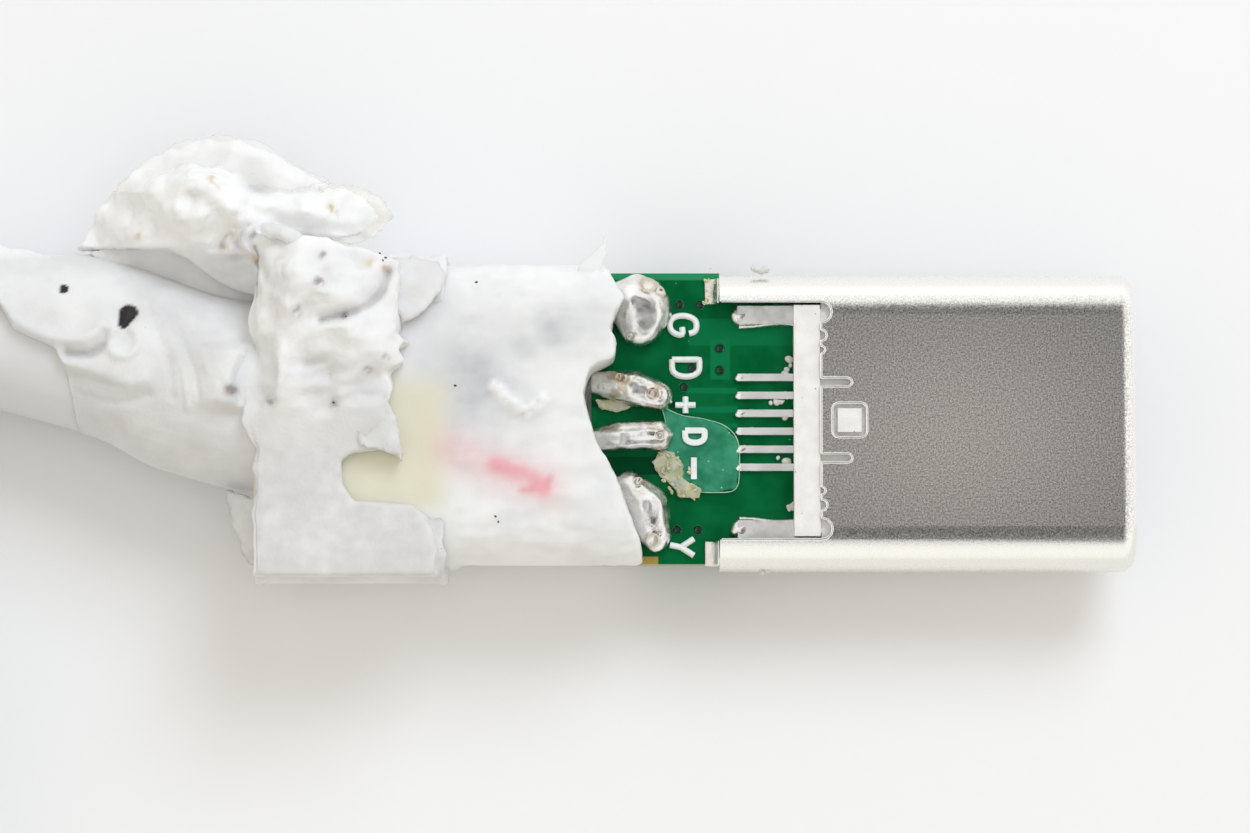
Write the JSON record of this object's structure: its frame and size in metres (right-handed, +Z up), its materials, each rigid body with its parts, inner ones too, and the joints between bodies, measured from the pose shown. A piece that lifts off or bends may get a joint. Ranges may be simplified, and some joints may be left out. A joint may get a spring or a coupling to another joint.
{
  "type": "usb-c cable",
  "caption": "USB-C to USB-A cable with its USB-C end torn open: metal plug, circuit board, solder joints and inner mould show; the rest of the cord lies folded.",
  "frame": {"origin": "on the flat underside of what is left of the USB-C grip, at the middle of its length and width; the surface that the cable rests on is z = 0", "axes": "+X out of the USB-C mouth, which is also the plug's axis; +Z up, away from the surface; +Y to the left of someone who looks along +X"},
  "size_m": [0.1483, 0.04, 0.0096],
  "materials": {
    "shell_steel": "nickel-plated drawn steel, fine grain",
    "housing_plastic": "ivory moulded insulator",
    "contact_metal": "gold-plated copper alloy, tinned tails",
    "spring_steel": "thin stainless spring sheet",
    "board_green": "glossy green solder mask on glass-fibre board",
    "resistor_black": "small ceramic chip with a black coat",
    "solder": "dull tin solder with traces of flux",
    "wire_black": "black wire insulation",
    "wire_green": "green wire insulation",
    "wire_white": "white wire insulation",
    "wire_red": "red wire insulation",
    "inner_plastic": "milky translucent moulding, torn at the front",
    "white_plastic": "soft white moulding",
    "cable_jacket": "smooth white cable jacket",
    "tie_plastic": "black plastic tie band",
    "tongue_plastic": "white moulded insulator"
  },
  "bodies": {
    "root": {"plug_shell": "shell_steel", "contact_housing": "housing_plastic", "contact_a4": "contact_metal", "contact_a5": "contact_metal", "contact_a6": "contact_metal", "contact_a7": "contact_metal", "contact_a8": "contact_metal", "contact_a9": "contact_metal", "contact_b4": "contact_metal", "contact_b5": "contact_metal", "contact_b6": "contact_metal", "contact_b7": "contact_metal", "contact_b8": "contact_metal", "contact_b9": "contact_metal", "latch_left": "spring_steel", "latch_right": "spring_steel", "ground_spring_top": "spring_steel", "ground_spring_bottom": "spring_steel", "circuit_board": "board_green", "pull_up_resistor": "resistor_black", "solder_ground": "solder", "solder_data_plus": "solder", "solder_data_minus": "solder", "solder_power": "solder", "shell_solder_left": "solder", "shell_solder_right": "solder", "wire_black": "wire_black", "wire_green": "wire_green", "wire_white": "wire_white", "wire_red": "wire_red", "inner_mould": "inner_plastic", "outer_mould": "white_plastic", "cable_lead": "cable_jacket", "cable_hank": "cable_jacket", "cable_tail": "cable_jacket", "cable_tie_front": "tie_plastic", "cable_tie_back": "tie_plastic", "far_grip": "white_plastic", "far_shell": "shell_steel", "far_tongue": "tongue_plastic", "far_contact_1": "contact_metal", "far_contact_2": "contact_metal", "far_contact_3": "contact_metal", "far_contact_4": "contact_metal"}
  },
  "joints": []
}
